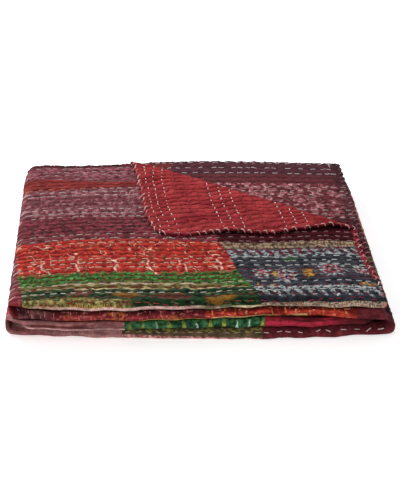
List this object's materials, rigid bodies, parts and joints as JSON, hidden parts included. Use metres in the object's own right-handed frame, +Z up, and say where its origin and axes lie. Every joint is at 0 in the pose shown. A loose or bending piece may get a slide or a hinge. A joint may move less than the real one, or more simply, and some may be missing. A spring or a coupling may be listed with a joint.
{
  "type": "kantha quilt",
  "caption": "Patchwork quilt of layered sari cloth held by rows of running stitch, folded into a flat stack with its top corner turned back.",
  "frame": {"origin": "the middle of the folded stack's box, on the underside that it rests on", "axes": "+Z up, +Y from the front folds to the hems at the back, +X from the folded left end to the hem at the right"},
  "size_m": [0.4194, 0.463, 0.0511],
  "materials": {
    "cloth": "matt cotton"
  },
  "bodies": {
    "root": {"quilt": "cloth"}
  },
  "joints": []
}
